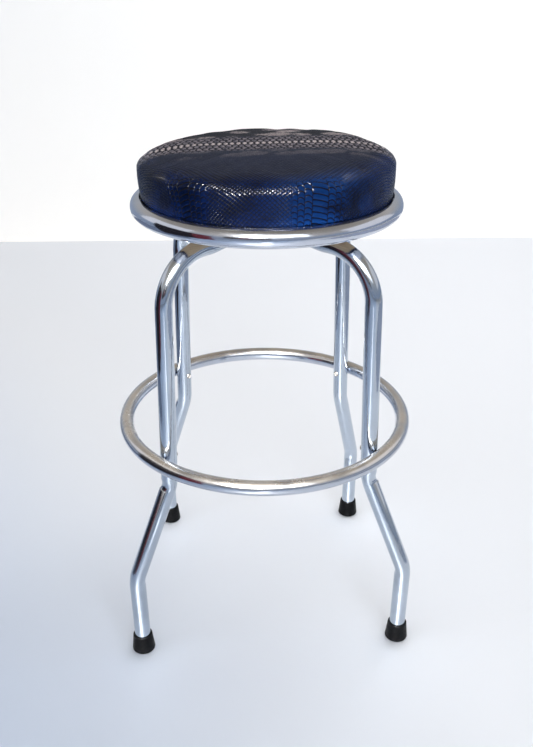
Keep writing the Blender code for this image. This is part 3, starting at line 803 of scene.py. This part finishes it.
def blue_skin(n, sheet, u, v, on_top, fleck):
    """Navy of the side with a painted patch of light round the front column of plates, and the duller navy
    of the top, greyer towards the back with a painted sheen.
    """
    tone = n.ramp(n.noise(0.016, 4.0, sheet), 0.36, 0.64)
    navy = n.mix(tone, rgb(0.0014, 0.0056, 0.028), rgb(0.0028, 0.018, 0.100))
    # Painted light: a patch of brighter blue round the front column of plates, broken up by the tone and
    # the flecks.
    light_patch_off = n.math("ABSOLUTE", n.math("SUBTRACT", u, PLATE_COLUMNS[0] + 12.0))
    patchy_light_patch = n.ramp(n.math("ADD", tone, fleck), 0.35, 1.3)
    bright = n.math("MULTIPLY", n.ramp(light_patch_off, 85.0, 10.0), patchy_light_patch)
    navy = n.mix(bright, navy, rgb(0.0025, 0.033, 0.150))
    navy = n.mix(n.math("MULTIPLY", n.ramp(fleck, 0.52, 0.75), 0.4), navy, rgb(0.006, 0.032, 0.14))
    # Painted sheen on the top: its navy is darkest over the front and turns greyer further back.
    top_sheen = n.ramp(v, -80.0, -30.0)
    return n.mix(on_top, navy, n.mix(top_sheen, rgb(0.0022, 0.0080, 0.038), rgb(0.010, 0.018, 0.046)))


def with_blotches(n, skin, sheet, v, on_top):
    """Pale ragged blotches with dark rims beside the spine, and a faint mottling over the whole top."""
    cells = n.add("ShaderNodeMapping", {"Vector": sheet, "Scale": (1 / 46, 1 / 30, 0.0)}).outputs[0]
    wobble = n.math("MULTIPLY", n.noise(0.16, 5.0, sheet, 0.65), 0.55)
    blotch_distance = n.add("ShaderNodeTexVoronoi", {"Vector": cells, "Scale": 1.0}).outputs[0]
    blotch_off = n.math("ADD", blotch_distance, wobble)
    behind = n.ramp(v, 46.0, 60.0)
    before = n.math("MULTIPLY", n.ramp(v, -34.0, -42.0), n.ramp(v, -86.0, -66.0))
    zone = n.math("MULTIPLY", n.math("ADD", behind, n.math("MULTIPLY", before, 0.2)), on_top)
    blotch = n.math("MULTIPLY", n.ramp(blotch_off, 0.82, 0.68), zone)
    rim = n.math("MULTIPLY", n.ramp(blotch_off, 0.72, 0.84), zone)
    streak = n.noise(0.25, 4.0, sheet, stretch=(0.35, 1.6, 1.0))
    mottle = n.math("MULTIPLY", n.ramp(streak, 0.45, 0.65), n.math("MULTIPLY", on_top, 0.8))
    skin = n.mix(mottle, skin, rgb(0.022, 0.032, 0.066))
    mauve = n.mix(n.ramp(streak, 0.35, 0.62), rgb(0.15, 0.125, 0.145), rgb(0.50, 0.43, 0.43))
    skin = n.mix(n.math("MULTIPLY", rim, 0.7), skin, rgb(0.006, 0.006, 0.009))
    return n.mix(n.math("MULTIPLY", blotch, 0.85), skin, mauve)


def with_spine(n, skin, sheet, u, drop, height, spine, spine_off, fleck):
    """A cream spot on every broad plate of the spine, and smoky mauve scales beside it."""
    stays = n.ramp(drop, 62.0, 30.0)
    patchy = n.math("MULTIPLY", n.ramp(n.noise(0.16, 3.0, sheet), 0.40, 0.60), n.ramp(height, 0.35, 0.80))
    smoky = n.mix(patchy, rgb(0.012, 0.013, 0.030), rgb(0.23, 0.20, 0.225))
    skin = n.mix(n.math("MULTIPLY", n.math("MULTIPLY", spine, stays), 0.9), skin, smoky)
    spot_off = off_centre(n, n.math("FRACT", n.math("ADD", n.math("DIVIDE", u, SPINE_PITCH), -0.08)))
    spot_edge = n.math("ADD", spot_off, n.ramp(spine_off, 2.0, 16.0))
    spot = n.math("MULTIPLY", n.ramp(spot_edge, 0.74, 0.36), n.ramp(fleck, 0.30, 0.54, 0.20, 1.0))
    cream = n.mix(n.ramp(fleck, 0.3, 0.7), rgb(0.22, 0.185, 0.20), rgb(0.56, 0.49, 0.49))
    return n.mix(n.math("MULTIPLY", spot, stays), skin, cream)


def vinyl_material():
    """Navy vinyl pressed like snakeskin: dark gaps that are partly print and partly painted shade, blue
    scales, a pale spine and mauve blotches on top.
    """
    n = Nodes("vinyl")
    sheet = n.add("ShaderNodeAttribute", attribute_name="sheet").outputs["Vector"]
    u, v, drop = n.add("ShaderNodeSeparateXYZ", {0: sheet}).outputs
    height, spine, spine_off = snakeskin(n, u, v, drop)
    on_top = n.ramp(drop, 30.0, 0.0)
    fleck = n.noise(0.33, 2.0, sheet)
    skin = blue_skin(n, sheet, u, v, on_top, fleck)
    skin = with_blotches(n, skin, sheet, v, on_top)
    skin = with_spine(n, skin, sheet, u, drop, height, spine, spine_off, fleck)
    gap_depth = n.ramp(height, 0.50, 0.10)
    worn = n.math("MULTIPLY", on_top, n.math("SUBTRACT", 1.0, spine))
    # The gaps between the scales are painted near black: partly the print's dark outlines, partly painted
    # shade in the hollows; a little lighter on the worn top.
    gap_print_and_shade = n.math("MULTIPLY", gap_depth, n.math("ADD", 0.94, n.math("MULTIPLY", worn, -0.15)))
    n.set(Base_Color=n.mix(gap_print_and_shade, skin, rgb(0.0007, 0.0008, 0.0020)))

    grain = n.noise(1.6, 3.0, sheet)
    matt = n.math("ADD", n.math("MULTIPLY", gap_depth, 0.1), n.math("MULTIPLY", on_top, 0.42))
    n.set(Roughness=n.math("ADD", n.ramp(grain, 0.25, 0.8, 0.13, 0.26), matt))
    creases = n.bump(grain, 0.15, 0.0003)
    n.set(Normal=n.bump(n.math("MULTIPLY", height, n.ramp(worn, 0.0, 1.0, 1.0, 0.6)), 0.9, 0.0009, creases))
    n.set(Specular_IOR_Level=0.09)
    return n.material


# ---------------------------------------------------------------- CAD nodes that show

def dress_nodes(steel, brass, wood):
    """Give the CAD nodes that stay in view their finish."""
    looks = {"seat_board": wood, "ball_cage": brass}
    for name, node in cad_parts.items():
        surface = looks.get(name, steel)
        for slot in node.material_slots:
            slot.material = surface


# ---------------------------------------------------------------- stage

STAGE_HALF_WIDTH = 6
WALL_Y = 2.07
WALL_HEIGHT = 3
FLOOR_CARD_Z = 1 * MM
CARD_CLEARANCE = 30 * MM           # a ray shorter than this passes through a card
SENSOR_WIDTH = 36                  # camera fitted to the photo's rings, tips and outline; lens in mm
CAMERA_LENS = 40.37
CAMERA_PLACE = (-0.0233, -1.2178, 1.0233)
CAMERA_PITCH = 0.4602              # radians below the horizon
CAMERA_PAN = 0.0218                # radians to the right of +Y
CAMERA_ROLL = -0.0019


def plane(name, corners, surface):
    bm = bmesh.new()
    bm.faces.new([bm.verts.new(c) for c in corners])
    mesh = bpy.data.meshes.new(name)
    bm.to_mesh(mesh)
    bm.free()
    mesh.materials.append(surface)
    made = bpy.data.objects.new(name, mesh)
    bpy.context.collection.objects.link(made)
    return made


def floor_paint():
    """Pale satin floor, with painted shade making it a little bluer and deeper towards the near left
    corner.
    """
    n = Nodes("floor_paint")
    x, y, _ = n.add("ShaderNodeSeparateXYZ", {0: n.add("ShaderNodeTexCoord").outputs["Object"]}).outputs
    # Painted shade: towards the near left corner the floor turns darker and bluer.
    far = n.ramp(n.math("ADD", n.math("MULTIPLY", y, 0.7), x), -1.25, 0.15)
    n.set(Base_Color=n.mix(far, rgb(0.45, 0.56, 0.76), rgb(0.80, 0.83, 0.89)), Roughness=0.42)
    n.set(Specular_IOR_Level=0.3)
    return n.material


def wall_paint():
    n = Nodes("wall_paint")
    n.set(Base_Color=rgb(0.95, 0.93, 0.90), Roughness=0.8, Specular_IOR_Level=0.3)
    n.set(Emission_Color=rgb(1, 1, 1), Emission_Strength=0.09)
    return n.material


def card(name, corners, colour, strength):
    """A panel of the unseen room that only reflections show; the floor close under it doesn't mirror it."""
    n = Nodes(name)
    n.set(Base_Color=rgb(0, 0, 0), Emission_Color=colour, Specular_IOR_Level=0.0)
    reached = n.add("ShaderNodeLightPath").outputs["Ray Length"]
    shown = n.math("GREATER_THAN", reached, CARD_CLEARANCE)
    n.set(Alpha=shown, Emission_Strength=n.math("MULTIPLY", shown, strength))
    made = plane(name, corners, n.material)
    made.visible_camera = False
    made.visible_diffuse = False
    made.visible_shadow = False
    return made


def upright(name, start, end, low, high, colour, strength=1.0):
    """An upright card above the line from start to end on the floor."""
    corners = [(*start, low), (*end, low), (*end, high), (*start, high)]
    return card(name, corners, colour, strength)


def floor_card(name, near_left, far_right, colour, strength=1.0):
    """A card lying just above the floor."""
    (x0, y0), (x1, y1) = near_left, far_right
    z = FLOOR_CARD_Z
    return card(name, [(x0, y0, z), (x1, y0, z), (x1, y1, z), (x0, y1, z)], colour, strength)


def make_stage():
    side = STAGE_HALF_WIDTH
    back_left, back_right = (-side, WALL_Y, 0), (side, WALL_Y, 0)
    plane("floor", [(-side, -side, 0), (side, -side, 0), back_right, back_left], floor_paint())
    top_right, top_left = (side, WALL_Y, WALL_HEIGHT), (-side, WALL_Y, WALL_HEIGHT)
    wall = plane("wall", [back_left, back_right, top_right, top_left], wall_paint())
    wall.visible_glossy = False

    # The room round the stool: a doorway on the left, dark furniture in front and a window above it
    dark, maroon, sky = rgb(0.020, 0.018, 0.024), rgb(0.16, 0.030, 0.045), rgb(0.90, 0.94, 1.0)
    upright("doorway", (-1.15, -0.75), (-1.15, 0.12), 0.0, 0.98, dark)
    upright("curtain", (-1.14, -1.25), (-1.14, -0.72), 0.0, 0.95, maroon)
    upright("shelf", (-1.6, -2.3), (0.08, -2.36), 0.75, 1.72, dark)
    upright("cushions", (-0.95, -2.28), (-0.55, -2.28), 0.95, 1.25, maroon, 1.2)
    upright("window", (-1.1, -2.4), (1.6, -2.4), 1.6, 3.7, sky, 2.2)
    upright("pale_left", (-2.6, -1.2), (-2.6, 1.6), 0.95, 2.6, rgb(0.84, 0.84, 0.88))
    upright("pale_right", (2.6, -1.2), (2.6, 1.6), 0.95, 2.6, rgb(0.84, 0.84, 0.88))
    floor_card("sunlit_floor", (-0.10, -1.9), (0.06, -0.75), rgb(0.95, 0.97, 1.0), 2.2)
    floor_card("shaded_left", (-2.4, -0.45), (-0.80, 1.7), rgb(0.20, 0.24, 0.33))
    floor_card("shaded_right", (1.0, -1.2), (2.8, 1.7), rgb(0.42, 0.46, 0.56))


def area_light(name, place, target, size, power, colour, size_y=None):
    data = bpy.data.lights.new(name, "AREA")
    data.shape = "RECTANGLE"
    data.size = size
    data.size_y = size_y or size
    data.energy = power
    data.color = colour
    lamp = bpy.data.objects.new(name, data)
    lamp.location = place
    lamp.rotation_euler = (Vector(target) - Vector(place)).to_track_quat("-Z", "Y").to_euler()
    lamp.visible_camera = False
    bpy.context.collection.objects.link(lamp)
    return lamp


def make_world():
    """Pale for the camera; as light, cool at the horizon, brightest half way up, dim and warm overhead."""
    world = bpy.data.worlds.new("room")
    bpy.context.scene.world = world
    world.use_nodes = True
    tree = world.node_tree
    background = tree.nodes["Background"]
    place = tree.nodes.new("ShaderNodeTexCoord")
    split = tree.nodes.new("ShaderNodeSeparateXYZ")
    tree.links.new(place.outputs["Generated"], split.inputs[0])
    ramp = tree.nodes.new("ShaderNodeValToRGB")
    tree.links.new(split.outputs[2], ramp.inputs[0])
    stops = ((0.0, (0.33, 0.39, 0.50)), (0.22, (0.42, 0.45, 0.49)), (0.45, (0.53, 0.50, 0.47)),
             (0.64, (0.40, 0.37, 0.33)), (1.0, (0.26, 0.235, 0.20)))
    while len(ramp.color_ramp.elements) < len(stops):
        ramp.color_ramp.elements.new(0.5)
    for element, (position, colour) in zip(ramp.color_ramp.elements, stops):
        element.position = position
        element.color = rgb(*colour)
    camera_ray = tree.nodes.new("ShaderNodeLightPath").outputs["Is Camera Ray"]
    mix = tree.nodes.new("ShaderNodeMix")
    mix.data_type = "RGBA"
    tree.links.new(camera_ray, mix.inputs[0])
    tree.links.new(ramp.outputs[0], mix.inputs[6])
    mix.inputs[7].default_value = rgb(0.93, 0.93, 0.94)
    tree.links.new(mix.outputs[2], background.inputs[0])
    background.inputs[1].default_value = 1.0


def make_lights():
    """Broad soft light that leaves no reflection, and two small lamps that show only as glints."""
    cool, warm = (0.86, 0.93, 1.0), (1.0, 0.985, 0.96)
    area_light("window_front", (0.9, -3.0, 2.0), (0.2, 0, 0.4), 1.8, 42, cool, 1.3).visible_glossy = False
    area_light("window_left", (-2.6, -1.2, 2.2), (0, 0, 0.4), 1.0, 8, cool, 1.4).visible_glossy = False
    area_light("ceiling_bounce", (0.9, 1.1, 3.0), (0.5, 1.2, 0), 2.6, 60, warm).visible_glossy = False
    glints = (("glint_left", (-0.47, -2.7, 2.60), 1050), ("glint_right", (0.68, -2.72, 2.5), 70))
    for name, place, power in glints:
        area_light(name, place, (0, 0, 0.75), 0.16, power, warm).visible_diffuse = False


def make_camera():
    data = bpy.data.cameras.new("camera")
    data.sensor_width = SENSOR_WIDTH
    data.lens = CAMERA_LENS
    camera = bpy.data.objects.new("camera", data)
    camera.location = CAMERA_PLACE
    camera.rotation_mode = "QUATERNION"
    level = math.cos(CAMERA_PITCH)
    forward = Vector((math.sin(CAMERA_PAN) * level, math.cos(CAMERA_PAN) * level, -math.sin(CAMERA_PITCH)))
    turn = forward.to_track_quat("-Z", "Y")
    camera.rotation_quaternion = turn @ Matrix.Rotation(CAMERA_ROLL, 4, "Z").to_quaternion()
    bpy.context.collection.objects.link(camera)
    bpy.context.scene.camera = camera
    bpy.context.scene.view_settings.view_transform = "Standard"


def main():
    # The last number of each chrome sets how far its upward faces are roughened by rubbing and tinted with
    # a painted sheen.
    chrome = chrome_material("chrome", rgb(0.50, 0.56, 0.64), rgb(0.40, 0.45, 0.52), 0.25)
    ring_chrome = chrome_material("worn_chrome_with_sheen", rgb(0.52, 0.56, 0.64), rgb(0.44, 0.46, 0.50), 0.75)
    seat_chrome = chrome_material("seat_chrome", rgb(0.60, 0.64, 0.73), rgb(0.50, 0.53, 0.60), 0.18)
    steel = steel_material("zinc_steel", rgb(0.62, 0.62, 0.63), rgb(0.42, 0.43, 0.45), 0.3)
    dull_steel = steel_material("dull_zinc", rgb(0.34, 0.33, 0.32), rgb(0.20, 0.19, 0.18), 0.4)
    brass = steel_material("cage_brass", rgb(0.75, 0.58, 0.30), rgb(0.55, 0.40, 0.20), 0.3)
    rubber = rubber_material()
    wood = plywood_material()
    vinyl = vinyl_material()

    dress_nodes(steel, brass, wood)
    make_legs(chrome)
    make_foot_ring(ring_chrome)
    make_ring_screws(dull_steel)
    make_tips(rubber)
    make_seat_ring(seat_chrome)
    make_cushion(vinyl)

    make_stage()
    make_world()
    make_lights()
    make_camera()


main()
